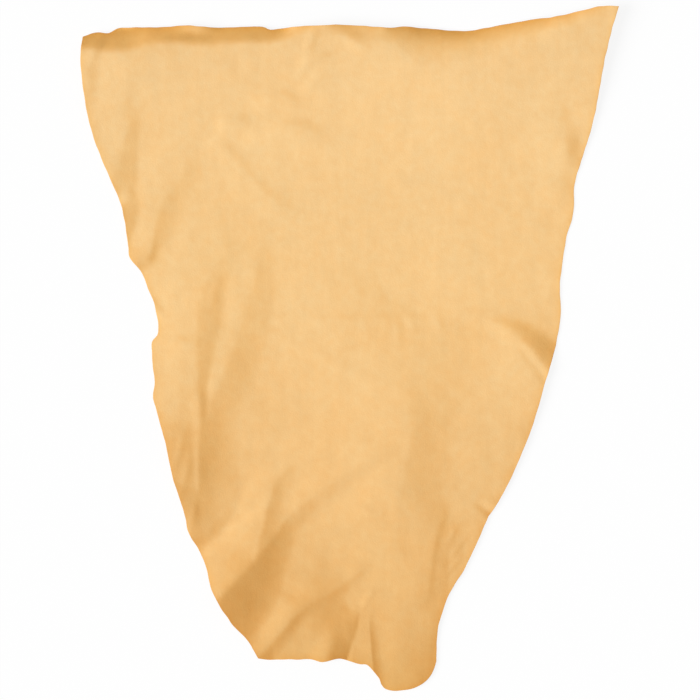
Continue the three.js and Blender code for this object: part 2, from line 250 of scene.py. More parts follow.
# Folds, each a step, a ridge or a crease
FOLDS: dict[str, Fold] = {
    # Rump margin and its left corner
    "rump_shelf": Fold(Section.ROUND, Section.ROUND, (
        (-54.0, 46.1, 19, 20, 200), (-43.0, 46.9, 18.5, 20, 200), (-31.6, 47.8, 16.5, 20, 200),
        (0.0, 48.1, 13, 20, 200), (20.5, 47.5, 16, 20, 200), (35.5, 49.3, 16, 20, 200),
        (54.1, 51.6, 14, 20, 200),
    )),
    "rump_drop_left": Fold(Section.ROUND, Section.PLANE, (
        (-55.9, 48.1, -18.6, 10, 27), (-48.0, 47.2, -18.6, 10, 27), (-44.3, 46.9, -18.2, 10, 27),
        (-41.9, 46.8, -17.8, 10, 26), (-39.5, 46.9, -17.4, 10, 23.5), (-37.2, 47.1, -17, 10, 20),
        (-35.0, 47.1, -16.4, 10, 17), (-33.5, 47.2, -16, 10, 17.5), (-30.7, 47.4, -15.5, 10, 22),
        (-27.9, 47.4, -15.2, 10, 24), (-25.1, 47.2, -14.6, 10, 21), (-22.3, 47.2, -14.2, 10, 19),
        (-18.6, 47.2, -13.5, 10, 19), (-15.8, 47.1, -12, 10, 18), (-12.6, 46.9, -11.5, 10, 14),
        (-9.6, 47.1, -5, 10, 9), (-7.0, 47.2, -2, 10, 6), (-4.8, 47.4, 0, 10, 4),
    )),
    "rump_lip": Fold(Section.ROUND, Section.ROUND, (
        (-34.4, 47.3, 0, 10, 12), (-31.6, 47.3, 2.5, 10, 13), (-28.8, 47.4, 5, 10, 14),
        (-26.4, 47.4, 4.5, 10, 14), (-24.2, 47.2, 0, 10, 10),
    )),
    "corner_valley": Fold(Section.ROUND, Section.ROUND, (
        (-46.0, 44.0, 0, 35, 18), (-46.4, 40.5, -0.9, 35, 18), (-46.9, 37.1, -0.9, 35, 18),
        (-47.5, 34.0, 0, 35, 18),
    )),
    "corner_crease": Fold(Section.CREASED, Section.ROUND, (
        (-46.3, 44.5, 0, 6, 14), (-47.2, 42.9, 0.7, 6, 14), (-48.0, 41.4, 0, 6, 14),
    )),
    "rump_drop_middle": Fold(Section.ROUND, Section.PLANE, (
        (-4.1, 47.4, 0, 10, 14), (-0.9, 47.5, -2.5, 10, 16), (2.8, 47.3, -3.5, 10, 17),
        (6.6, 47.2, -3.5, 10, 18), (9.0, 47.1, -2, 10, 18), (10.9, 47.1, 0, 10, 18),
    )),
    "rump_drop_right": Fold(Section.ROUND, Section.CREASED, (
        (6.6, 47.1, 0, 10, 30), (9.7, 47.2, -4, 10, 46), (13.5, 46.9, -8.5, 10, 54),
        (17.8, 46.6, -9.5, 10, 56), (22.4, 46.6, -10, 10, 56), (27.1, 47.2, -9, 10, 50),
        (31.7, 47.9, -8, 10, 42), (36.4, 48.4, -5, 10, 32), (41.1, 49.1, -2.5, 10, 22),
        (44.8, 49.8, -0.8, 10, 14), (48.1, 50.3, 0, 10, 8),
    )),
    "rump_curl_right": Fold(Section.ROUND, Section.CREASED, (
        (6.6, 47.1, 0, 10, 14), (9.7, 47.2, -3, 10, 17), (15.0, 46.9, -4.5, 10, 17), (20.5, 46.6, -7, 10, 17),
        (25.2, 46.8, -7, 10, 17), (29.9, 47.5, -6.5, 10, 17), (34.5, 48.2, -6.5, 10, 16),
        (39.2, 48.8, -5, 10, 15), (43.8, 49.6, -3.5, 10, 13), (48.1, 50.3, -1.5, 10, 8),
    )),
    # Left flank
    "left_margin": Fold(Section.ROUND, Section.PLANE, (
        (-45.4, 22.4, 2.4, 60, 34), (-44.3, 24.1, 2.8, 60, 31), (-43.2, 26.9, 2.2, 70, 24),
        (-42.1, 29.8, 1.5, 80, 17), (-41.1, 32.7, 1.1, 80, 12), (-40.2, 35.5, 0, 80, 8),
    )),
    "left_notch": Fold(Section.ROUND, Section.PLANE, (
        (-42.5, 14.9, 0.6, 30, 6), (-42.5, 16.2, 1.8, 30, 11), (-42.6, 18.1, 2.8, 30, 17),
        (-42.8, 20.0, 3, 30, 25), (-43.0, 21.3, 0, 30, 24),
    )),
    "left_tuck": Fold(Section.ROUND, Section.CREASED, (
        (-40.0, 12.2, 2.9, 50, 13), (-38.7, 12.7, 2.8, 50, 13), (-37.6, 13.2, 2.5, 50, 12),
        (-37.0, 14.0, 2.1, 55, 11), (-36.7, 15.2, 1.9, 60, 16), (-36.4, 16.6, 1.9, 65, 25),
        (-35.7, 19.4, 1.8, 65, 38), (-34.8, 21.2, 1.6, 70, 38), (-32.6, 23.7, 1.2, 70, 30),
        (-29.8, 26.6, 0.8, 70, 21), (-27.0, 29.1, 0, 70, 16),
    )),
    "flank_fold": Fold(Section.ROUND, Section.PLANE, (
        (-27.9, -11.6, 0, 100, 6), (-28.1, -8.2, 1.3, 110, 9), (-28.3, -4.6, 1.9, 120, 12),
        (-28.5, -0.2, 2.2, 115, 21), (-28.5, 3.5, 2.4, 110, 27), (-27.9, 6.8, 2.3, 105, 30),
        (-26.6, 9.8, 1.8, 90, 25), (-24.0, 12.7, 1, 80, 17), (-21.4, 15.9, 0, 60, 8),
    )),
    "middle_fold": Fold(Section.ROUND, Section.FIRM, (
        (-27.0, -12.2, 0, 110, 30), (-25.9, -8.2, 2.1, 120, 38), (-24.0, -4.6, 2.9, 130, 42),
        (-21.4, 0.5, 2.5, 140, 40), (-20.1, 4.2, 1.9, 140, 38), (-18.6, 7.4, 1.5, 130, 32),
        (-17.3, 11.8, 0.9, 110, 24), (-16.4, 15.9, 0, 90, 18),
    )),
    "lower_flank_fold": Fold(Section.ROUND, Section.CREASED, (
        (-28.3, -30.3, 0, 60, 34), (-29.9, -27.7, 2.6, 80, 46), (-29.1, -24.3, 4.8, 110, 58),
        (-28.1, -20.0, 5.6, 130, 60), (-28.1, -15.6, 5.2, 130, 55), (-27.9, -11.9, 4.1, 120, 46),
        (-27.7, -8.7, 1.7, 110, 36), (-27.5, -6.0, 0, 100, 28),
    )),
    "margin_curl": Fold(Section.ROUND, Section.PLANE, (
        (-30.5, -26.8, 0, 30, 16), (-31.5, -23.9, 2.2, 30, 21), (-33.3, -19.5, 3.6, 30, 28),
        (-34.8, -15.1, 2.8, 30, 36), (-35.9, -11.2, 1.1, 30, 42), (-36.7, -7.8, 0, 30, 40),
    )),
    # Pleats at the lower left
    "great_pleat": Fold(Section.PLANE, Section.FIRM, (
        (-28.7, -40.3, 17.4, 54, 82), (-24.6, -36.6, 15.8, 53, 80), (-21.4, -33.9, 12.7, 50, 63),
        (-18.6, -31.7, 9.3, 46, 49), (-16.4, -29.5, 6.2, 45, 38), (-13.9, -27.3, 3.7, 50, 26),
        (-12.1, -25.1, 3.0, 60, 21), (-9.3, -22.9, 3.7, 70, 23), (-4.6, -20.2, 3.8, 70, 25),
        (0.0, -18.0, 2.3, 66, 20), (4.7, -15.7, 1.2, 60, 15), (9.0, -13.9, 0, 54, 12),
    )),
    "upper_pleat": Fold(Section.ROUND, Section.CREASED, (
        (-18.0, -30.9, 0, 40, 14), (-17.0, -28.7, 1.4, 60, 20), (-16.1, -26.5, 2.2, 80, 26),
        (-15.6, -24.3, 2.6, 90, 30), (-15.0, -22.1, 2.8, 90, 31), (-13.9, -19.8, 2.6, 90, 28),
        (-11.5, -17.5, 2.2, 80, 22), (-8.3, -16.0, 1.8, 70, 19), (-4.6, -14.8, 1.4, 60, 17),
        (-0.9, -14.1, 1, 50, 14), (2.8, -13.7, 0.6, 50, 12), (7.1, -13.4, 0, 50, 10),
    )),
    "strip_crease": Fold(Section.ROUND, Section.ROUND, (
        (-29.8, -30.6, -1.4, 16, 10), (-27.9, -29.5, -1.4, 16, 10), (-25.1, -27.9, -1.4, 16, 10),
        (-22.3, -26.0, -1.3, 16, 10), (-18.6, -23.8, -1, 14, 9), (-15.6, -22.1, -0.5, 12, 8),
        (-13.9, -21.1, 0, 10, 8),
    )),
    "lower_pleat": Fold(Section.ROUND, Section.CREASED, (
        (-19.2, -46.9, 3.6, 30, 20), (-16.5, -44.8, 3.6, 30, 20), (-13.2, -41.9, 3.4, 28, 18),
        (-9.8, -38.8, 3.1, 26, 15), (-6.7, -37.1, 2.0, 26, 14), (-2.4, -35.2, 1.8, 26, 13),
        (0.6, -33.5, 1.5, 26, 12), (2.7, -32.4, 0.7, 26, 11), (4.5, -31.4, 0, 26, 10),
    )),
    # Neck lobe
    "neck_pleat": Fold(Section.ROUND, Section.ROLLED, (
        (-5.0, -46.7, 6.8, 220, 25), (-4.4, -44.8, 6.8, 220, 26), (-3.1, -42.6, 5.6, 200, 23),
        (-1.3, -40.4, 2.8, 160, 16), (0.0, -38.0, 0, 120, 12),
    )),
    "neck_slope": Fold(Section.ROUND, Section.CREASED, (
        (0.4, -46.7, 2, 20, 50), (0.4, -44.8, 2, 20, 50), (0.8, -42.6, 1.8, 20, 50),
        (1.2, -40.0, 1, 20, 50), (1.5, -37.5, 0, 20, 50),
    )),
    "neck_lip": Fold(Section.ROUND, Section.ROUND, (
        (-5.2, -46.7, 1.2, 18, 22), (-4.6, -44.8, 1.2, 18, 22), (-3.3, -42.6, 1.1, 18, 20),
        (-1.6, -40.4, 0.7, 18, 14), (-0.3, -38.0, 0, 18, 10),
    )),
    "neck_seam": Fold(Section.ROUND, Section.CREASED, (
        (4.8, -50.5, 1.6, 45, 14), (4.4, -47.0, 1.6, 45, 14), (3.9, -42.6, 1.2, 45, 11),
        (3.7, -39.5, 0.5, 45, 10), (3.9, -37.5, 0, 45, 10),
    )),
    "neck_swell": Fold(Section.ROUND, Section.ROLLED, (
        (9.8, -50.5, 3.2, 54, 50), (9.3, -45.6, 3.4, 54, 50), (9.1, -39.7, 3.4, 66, 54),
        (8.8, -33.9, 2.8, 80, 60), (8.4, -28.7, 1.5, 90, 64), (8.2, -25.1, 0, 90, 60),
    )),
    # Right of the middle and right flank
    "band_step": Fold(Section.ROUND, Section.FIRM, (
        (7.7, -33.9, 0, 140, 60), (8.2, -29.5, 1.3, 140, 62), (8.8, -25.1, 2, 140, 60),
        (9.4, -21.4, 2.5, 140, 58), (10.3, -17.8, 2.6, 140, 57), (11.2, -13.4, 2.6, 130, 55),
        (11.4, -9.3, 2, 120, 52), (11.6, -6.9, 1.1, 100, 48), (11.6, -4.4, 0.4, 90, 44),
        (11.6, -1.5, 0, 90, 40),
    )),
    "right_fall": Fold(Section.ROUND, Section.ROUND, (
        (11.2, 7.1, 0, 220, 170), (11.6, -1.7, 2.5, 220, 175), (11.6, -10.4, 4.5, 220, 170),
        (10.3, -19.2, 4.5, 220, 160), (9.0, -28.0, 2.5, 200, 130), (7.5, -35.3, 0, 160, 90),
    )),
    "right_step": Fold(Section.ROUND, Section.ROUND, (
        (38.8, -5.2, 5.2, 230, 36), (36.8, -3.0, 4.8, 230, 33), (34.5, -0.6, 4.1, 220, 28),
        (31.6, 1.6, 3.1, 200, 22), (29.1, 2.8, 2, 180, 15), (27.0, 3.5, 0.9, 160, 10), (25.0, 3.9, 0, 140, 7),
    )),
    "right_strip": Fold(Section.ROUND, Section.ROUND, (
        (38.8, -5.5, 0.8, 8, 12), (36.8, -3.3, 0.8, 8, 11), (34.3, -0.8, 0.7, 8, 9), (31.5, 1.1, 0.5, 8, 7),
        (28.8, 2.3, 0, 8, 6),
    )),
    "right_line": Fold(Section.ROUND, Section.CREASED, (
        (36.8, -5.7, 0.3, 40, 6), (35.5, -4.4, 0.5, 40, 6), (33.6, -2.5, 0.5, 40, 6),
        (31.7, -0.5, 0.5, 40, 6), (30.2, 0.8, 0.4, 40, 6), (28.4, 1.6, 0, 40, 6),
    )),
    "edge_dimple": Fold(Section.ROUND, Section.ROUND, (
        (41.8, 25.4, 0, 60, 14), (40.3, 27.6, 1.6, 60, 22), (39.8, 29.7, 1.9, 60, 26),
        (40.3, 31.9, 1, 60, 22), (41.8, 34.0, 0, 60, 14),
    )),
    "lower_line": Fold(Section.ROUND, Section.CREASED, (
        (14.6, -37.7, 0, 30, 7), (15.1, -33.1, 0.4, 35, 7), (15.7, -29.5, 0.5, 40, 7),
        (16.6, -26.5, 0.5, 40, 7), (17.9, -23.3, 0, 40, 7),
    )),
    "nick_crease": Fold(Section.ROUND, Section.ROUND, (
        (23.3, -22.3, 0, 5, 5), (24.8, -23.2, -1.2, 5, 5), (26.3, -24.1, -1.8, 5, 5),
        (28.0, -25.1, -1.8, 5, 5),
    )),
    "pocket": Fold(Section.ROUND, Section.ROUND, (
        (16.1, -35.3, 0, 50, 22), (17.0, -31.7, 0.9, 50, 26), (18.1, -28.0, 0.9, 50, 24),
        (19.8, -25.1, 0, 50, 18),
    )),
    # Upper left
    "shoulder_crease": Fold(Section.ROUND, Section.CREASED, (
        (-10.8, 21.3, 0, 30, 14), (-13.9, 21.9, 0.4, 30, 14), (-16.4, 23.4, 0.5, 30, 14),
        (-19.2, 25.9, 0.5, 30, 14), (-21.9, 28.5, 0.5, 30, 14), (-24.6, 30.0, 0.4, 30, 14),
        (-26.4, 30.3, 0, 30, 14),
    )),
    "corner_facet": Fold(Section.PLANE, Section.CREASED, (
        (-48.0, 43.4, 0, 12, 10), (-46.7, 44.5, 0.8, 12, 10), (-45.6, 45.8, 0.8, 12, 10),
        (-45.1, 46.6, 0.7, 12, 10),
    )),
}

# Wrinkles and creases, which lie on top of the folds
WRINKLES: dict[str, Fold] = {
    "storage_crease": wrinkle(
        0.25, 8, 5, (-23.3, 4.8), (-16.7, 4.5), (-5.5, 4.1), (5.6, 4.2), (16.8, 4.6), (28.0, 5.1)),
    "diagonal_crease": wrinkle(
        0.25, 14, 8, (-22.9, 5.4), (-16.7, 3.0), (-9.3, 0.2), (-0.9, -3.1), (7.5, -5.8), (14.0, -7.5)),
    "rump_ridge": wrinkle(0.7, 9, 9, (-8.1, 42.4), (-7.6, 44.1), (-7.0, 45.9), (-6.4, 47.8)),
    "rump_knot": wrinkle(1.1, 14, 12, (-2.6, 46.2), (-0.4, 45.4), (1.7, 44.4), (3.3, 42.8)),
    "rump_arc": wrinkle(1.0, 9, 22, (-18.2, 35.9), (-15.2, 36.7), (-12.1, 36.8), (-8.7, 36.4)),
    "rump_crinkle": wrinkle(1.3, 8, 9, (-9.6, 40.5), (-8.2, 41.7), (-5.9, 42.5), (-3.3, 43.1)),
    "rump_crinkle_low": wrinkle(0.8, 8, 10, (-9.3, 37.7), (-7.6, 38.5), (-5.8, 39.6), (-4.0, 40.5)),
    "shoulder_wrinkle": wrinkle(1.3, 11, 25, (-25.3, 32.3), (-23.1, 33.0), (-20.5, 33.3), (-17.5, 32.9)),
    "long_wrinkle": wrinkle(1.6, 15, 35, (-18.5, 32.6), (-13.0, 32.4), (-8.3, 32.0), (-3.7, 30.6)),
    "streak_left": wrinkle(0.25, 9, 7, (9.0, -0.5), (9.0, 1.3), (9.0, 3.3), (9.2, 4.8)),
    "streak_middle": wrinkle(0.2, 9, 7, (12.0, 1.9), (11.6, 3.0), (11.0, 4.5), (10.9, 6.0)),
    "streak_right": wrinkle(0.2, 10, 8, (17.8, 1.0), (17.0, 2.7), (16.1, 4.5), (15.3, 6.0)),
    "neck_tick": wrinkle(0.5, 8, 6, (1.7, -39.0), (2.8, -37.3), (4.0, -35.9), (5.0, -34.8)),
    "rib_upper": wrinkle(0.5, 7, 7, (4.9, -24.2), (3.0, -23.6), (0.4, -23.5)),
    "rib_lower": wrinkle(0.5, 7, 7, (5.3, -30.3), (3.0, -29.8), (0.0, -29.5)),
    "flank_step": wrinkle(0.6, 12, 6, (-37.0, 1.1), (-33.5, 0.8), (-30.7, 0.7), (-27.5, 0.4)),
    "tuck_line_low": wrinkle(0.6, 8, 6, (-34.2, 4.1), (-35.7, 5.7), (-38.2, 8.1)),
    "flank_wrinkle": wrinkle(0.4, 8, 6, (-32.6, -23.6), (-30.9, -19.8), (-30.1, -17.5), (-29.8, -14.6)),
    "flank_wrinkle_high": wrinkle(0.4, 7, 6, (-34.2, -19.0), (-32.0, -16.0), (-31.3, -13.9), (-30.9, -11.9)),
    "flank_streak": wrinkle(0.4, 8, 6, (-26.0, 5.4), (-25.5, 7.4), (-24.7, 9.2), (-23.8, 10.6)),
    "pocket_wrinkle": wrinkle(0.3, 6, 5, (18.4, -31.0), (20.4, -28.7), (22.4, -27.1)),
    "pocket_wrinkle_low": wrinkle(0.3, 6, 5, (17.4, -33.4), (19.2, -31.8), (21.2, -30.4)),
    "pocket_wrinkle_high": wrinkle(0.3, 6, 5, (17.9, -28.7), (19.1, -27.3), (19.8, -25.7)),
}


def curve_through(points: np.ndarray, count: int) -> np.ndarray:
    """Draws a centripetal Catmull-Rom curve through points.

    Args:
        points: The points, one a row, with x and y first.
        count: How many steps the curve gets, spread evenly over the spans between the points.

    Returns:
        The points of the curve, one more than its steps.
    """
    ends = np.vstack([2.0 * points[0] - points[1], points, 2.0 * points[-1] - points[-2]])
    knots = np.linalg.norm(np.diff(ends[:, :2], axis=0), axis=1) ** 0.5
    places = np.linspace(0.0, len(points) - 1.0, count + 1)
    spans = np.minimum(places.astype(int), len(points) - 2)
    share = (places - spans)[:, None]
    before, start, end, after = (ends[spans + i] for i in range(4))
    first, middle, last = (knots[spans + i][:, None] for i in range(3))
    into = (start - before) / first - (end - before) / (first + middle) + (end - start) / middle
    out = (end - start) / middle - (after - start) / (middle + last) + (after - end) / last
    into, out = into * middle, out * middle
    square = 3.0 * (end - start) - 2.0 * into - out
    cube = 2.0 * (start - end) + into + out
    return start + share * (into + share * (square + share * cube))


class NoiseSeed(Enum):
    """Which noise an edge or a wave follows."""

    RUMP_EDGE = 1.5
    NECK_EDGE = 2.5
    LEFT_FLANK = 3.5
    RIGHT_FLANK = 4.5
    BUCKLE = 7.3
    CRINKLE = 8.1
    FLUTTER = 9.7


def noise_at(points: np.ndarray, wavelength: float, seed: NoiseSeed) -> np.ndarray:
    """Gives smooth noise over the plan, the same on every run.

    Args:
        points: Points of the plan, an array whose last axis is x and y.
        wavelength: Size of the noise's waves.
        seed: Which noise it is.

    Returns:
        Numbers from about -1 to 1, one for each point.
    """
    scaled = points.reshape(-1, 2) / wavelength
    values = [noise.noise(Vector((x, y, seed.value))) for x, y in scaled]
    return np.array(values).reshape(points.shape[:-1])


def blurred(values: np.ndarray, passes: int) -> np.ndarray:
    """Evens out a grid of values.

    Args:
        values: The grid.
        passes: How many times each value is mixed with its four neighbours.

    Returns:
        The evened grid.
    """
    for _ in range(passes):
        wide = np.pad(values, 1, mode="edge")
        around = wide[:-2, 1:-1] + wide[2:, 1:-1] + wide[1:-1, :-2] + wide[1:-1, 2:]
        values = (values + around / 4.0) / 2.0
    return values


@dataclass(frozen=True)
class Plan:
    """The skin's plan, stretched between its four cut edges.

    Attributes:
        size: Width and length of the skin.
        middle: Middle of the skin's box.
        ragged: How far the knife strayed to either side of each edge.
        ragged_wave: How long its strays are.
        samples: How many steps an edge is drawn with.
        calm_end: How near its ends an edge stops being ragged.
    """

    size: np.ndarray
    middle: np.ndarray
    ragged: float = 0.6 * MILLIMETRE
    ragged_wave: float = 11 * MILLIMETRE
    samples: int = 1600
    calm_end: float = 12 * MILLIMETRE

    def edge(self, points: tuple[PlanPoint, ...], shares: np.ndarray, seed: NoiseSeed) -> np.ndarray:
        """Draws one cut edge.

        Args:
            points: The edge's points in percent.
            shares: Shares of the edge's length at which it is wanted.
            seed: Which noise makes it ragged.

        Returns:
            Points of the edge at those shares.
        """
        line = curve_through(np.array(points) * self.size / FULL_PERCENT, self.samples)
        travelled = np.concatenate([[0.0], np.cumsum(np.linalg.norm(np.diff(line, axis=0), axis=1))])
        wanted = shares * travelled[-1]
        place = np.stack([np.interp(wanted, travelled, line[:, axis]) for axis in range(2)], axis=-1)
        along = np.gradient(line, travelled, axis=0)
        sideways = (-along[:, 1], along[:, 0])
        side = np.stack([np.interp(wanted, travelled, part) for part in sideways], axis=-1)
        calm = np.clip(np.minimum(wanted, travelled[-1] - wanted) / self.calm_end, 0.0, 1.0)
        stray = noise_at(np.stack([wanted, np.zeros_like(wanted)], axis=-1), self.ragged_wave, seed)
        return place + side * (self.ragged * calm * stray)[:, None]

    def patch(self, across: np.ndarray, down: np.ndarray) -> np.ndarray:
        """Stretches the plan between its edges.

        Args:
            across: Shares of the way from the left flank to the right one.
            down: Shares of the way from the rump to the neck.

        Returns:
            Points of the plan, a row for each share down.
        """
        rump = self.edge(RUMP_EDGE, across, NoiseSeed.RUMP_EDGE)
        neck = self.edge(NECK_EDGE, across, NoiseSeed.NECK_EDGE)
        left = self.edge(LEFT_FLANK, down, NoiseSeed.LEFT_FLANK)
        right = self.edge(RIGHT_FLANK, down, NoiseSeed.RIGHT_FLANK)
        u = across[None, :, None]
        v = down[:, None, None]
        between = rump[None] * (1.0 - v) + neck[None] * v
        along = left[:, None] * (1.0 - u) + right[:, None] * u
        upper = rump[0] * (1.0 - u) + rump[-1] * u
        lower = neck[0] * (1.0 - u) + neck[-1] * u
        points = between + along - (upper * (1.0 - v) + lower * v)
        low = points.min(axis=(0, 1))
        high = points.max(axis=(0, 1))
        return points + self.middle - (low + high) / 2.0


@dataclass(frozen=True)
class Relief:
    """How the skin stands off the surface that it lies on.

    Attributes:
        buckle: Height of the slow waves of a skin that isn't pressed flat, and their length.
        crinkle: Height of the small waves, and their length.
        flutter: Height of the waves along the cut edges, and their length.
        flutter_reach: How far those reach in from the edge.
        softening: How many times the folds are evened out, because leather bends no sharper.
        loose_middle: Share of the slow waves in the middle of the skin. It grows by 1 over the skin's length,
            from the rump to the neck.
        loose_left: How much that share grows over the skin's width, from right to left.
        loose_least: The least that it comes down to.
    """

    buckle: tuple[float, float] = (0.9 * MILLIMETRE, 75 * MILLIMETRE)
    crinkle: tuple[float, float] = (0.15 * MILLIMETRE, 17 * MILLIMETRE)
    flutter: tuple[float, float] = (1.2 * MILLIMETRE, 48 * MILLIMETRE)
    flutter_reach: float = 22 * MILLIMETRE
    softening: int = 1
    loose_middle: float = 0.55
    loose_left: float = 0.4
    loose_least: float = 0.25

    def heights(self, points: np.ndarray, size: np.ndarray, inset: np.ndarray) -> np.ndarray:
        """Adds up the folds and waves.

        Args:
            points: Points of the plan, a grid whose last axis is x and y.
            size: Width and length of the skin.
            inset: Distance of each point from the nearest cut edge.

        Returns:
            Height of the skin's underside at each point.
        """
        lifts = [fold.lift(points, size) for fold in (*FOLDS.values(), *WRINKLES.values())]
        folds = blurred(sum(lifts), self.softening)
        x, y = np.moveaxis(points, -1, 0)
        loose = self.loose_middle - y / size[1] - self.loose_left * x / size[0]
        loose = np.clip(loose, self.loose_least, 1.0)
        buckle = self.buckle[0] * loose * noise_at(points, self.buckle[1], NoiseSeed.BUCKLE)
        crinkle = self.crinkle[0] * noise_at(points, self.crinkle[1], NoiseSeed.CRINKLE)
        edge_wave = self.flutter[0] * np.exp(-inset / self.flutter_reach)
        flutter = edge_wave * np.abs(noise_at(points, self.flutter[1], NoiseSeed.FLUTTER))
        return np.clip(folds + buckle + crinkle + flutter, 0.0, None)


class Signal:
    """A value on its way through a finish's nodes; arithmetic on it adds Math nodes."""

    def __init__(self, board: "Board", socket: bpy.types.NodeSocket) -> None:
        """Keeps the board and the socket that gives the value."""
        self.board = board
        self.socket = socket

    def _math(self, operation: str, first: "Signal | float", second: "Signal | float") -> "Signal":
        """Adds the Math node of one operation."""
        return self.board.node("ShaderNodeMath", {"operation": operation}, {0: first, 1: second})

    def __add__(self, other: "Signal | float") -> "Signal":
        """Adds a value or a number."""
        return self._math("ADD", self, other)

    def __mul__(self, other: "Signal | float") -> "Signal":
        """Multiplies by a value or a number."""
        return self._math("MULTIPLY", self, other)

    def __neg__(self) -> "Signal":
        """Changes the value's sign."""
        return self * -1.0

    __radd__ = __add__
    __rmul__ = __mul__


class Blend(Enum):
    """How two colours are mixed."""

    PLAIN = "MIX"
    MULTIPLY = "MULTIPLY"


@dataclass(frozen=True)
class Grain:
    """A noise pattern of a finish.

    Attributes:
        scale: Its waves a metre.
        detail: How many layers of finer waves it has.
        roughness: How strong the finer waves are.
        weight: How much it counts where patterns are added up.
    """

    scale: float
    detail: float
    roughness: float
    weight: float = 1.0


class Board:
    """The nodes of one material or of the world."""

    def __init__(self, tree: bpy.types.NodeTree) -> None:
        """Clears the tree that the nodes go into."""
        self.tree = tree
        tree.nodes.clear()

    def node(
        self,
        kind: str,
        settings: dict[str, Any] | None = None,
        inputs: dict[str | int, Any] | None = None,
        output: str | int = 0,
    ) -> Signal:
        """Adds a node.

        Args:
            kind: The node's type.
            settings: Its properties, and a ramp's stops, which are set first.
            inputs: Values or signals of its sockets, by name or number.
            output: Which of its outputs is wanted.

        Returns:
            That output, or the first input of a node that has no outputs.
        """
        made = self.tree.nodes.new(kind)
        for name, value in (settings or {}).items():
            if name == "stops":
                self._set_stops(made.color_ramp, value)
            else:
                setattr(made, name, value)
        for name, value in (inputs or {}).items():
            if isinstance(value, Signal):
                self.tree.links.new(value.socket, made.inputs[name])
            else:
                made.inputs[name].default_value = value
        if not made.outputs:
            return Signal(self, made.inputs[0])
        return Signal(self, made.outputs[output])

    @staticmethod
    def _set_stops(ramp: bpy.types.ColorRamp, stops: tuple[tuple[float, Colour], ...]) -> None:
        """Gives a ramp its stops.

        Args:
            ramp: The ramp.
            stops: Places and colours, in rising order.
        """
        while len(ramp.elements) < len(stops):
            ramp.elements.new(1.0)
        for element, (position, colour) in zip(ramp.elements, stops):
            element.position = position
            element.color = colour

    def mix(
        self,
        factor: Signal | float,
        first: Signal | Colour,
        second: Signal | Colour,
        blend: Blend = Blend.PLAIN,
    ) -> Signal:
        """Mixes two colours.

        Args:
            factor: How much of the mixture shows, the rest being the first colour.
            first: The first colour.
            second: The second colour.
            blend: How they are mixed.

        Returns:
            The mixed colour.
        """
        settings = {"data_type": "RGBA", "blend_type": blend.value}
        inputs = {MIX_FACTOR: factor, MIX_FIRST: first, MIX_SECOND: second}
        return self.node("ShaderNodeMix", settings, inputs, MIX_RESULT)

    def tint(self, colour: Signal, tint: Signal | Colour, factor: Signal | float = 1.0) -> Signal:
        """Multiplies a colour by a tint."""
        return self.mix(factor, colour, tint, Blend.MULTIPLY)

    def grain(self, place: Signal, grain: Grain) -> Signal:
        """Adds a noise pattern, from 0 to 1."""
        inputs = {"Vector": place, "Scale": grain.scale, "Detail": grain.detail, "Roughness": grain.roughness}
        return self.node("ShaderNodeTexNoise", {"noise_dimensions": "3D"}, inputs)


def shade(red: int, green: int, blue: int) -> Colour:
    """Turns a screen colour, each part from 0 to 255, into a linear one.

    Args:
        red: Red part.
        green: Green part.
        blue: Blue part.

    Returns:
        The linear colour with full opacity.
    """
    parts = (value / SCREEN_FULL for value in (red, green, blue))
    linear = (
        part / TOE_SLOPE if part <= TOE_END else ((part + CURVE_SHIFT) / (1.0 + CURVE_SHIFT)) ** CURVE_POWER
        for part in parts
    )
    return (*linear, 1.0)


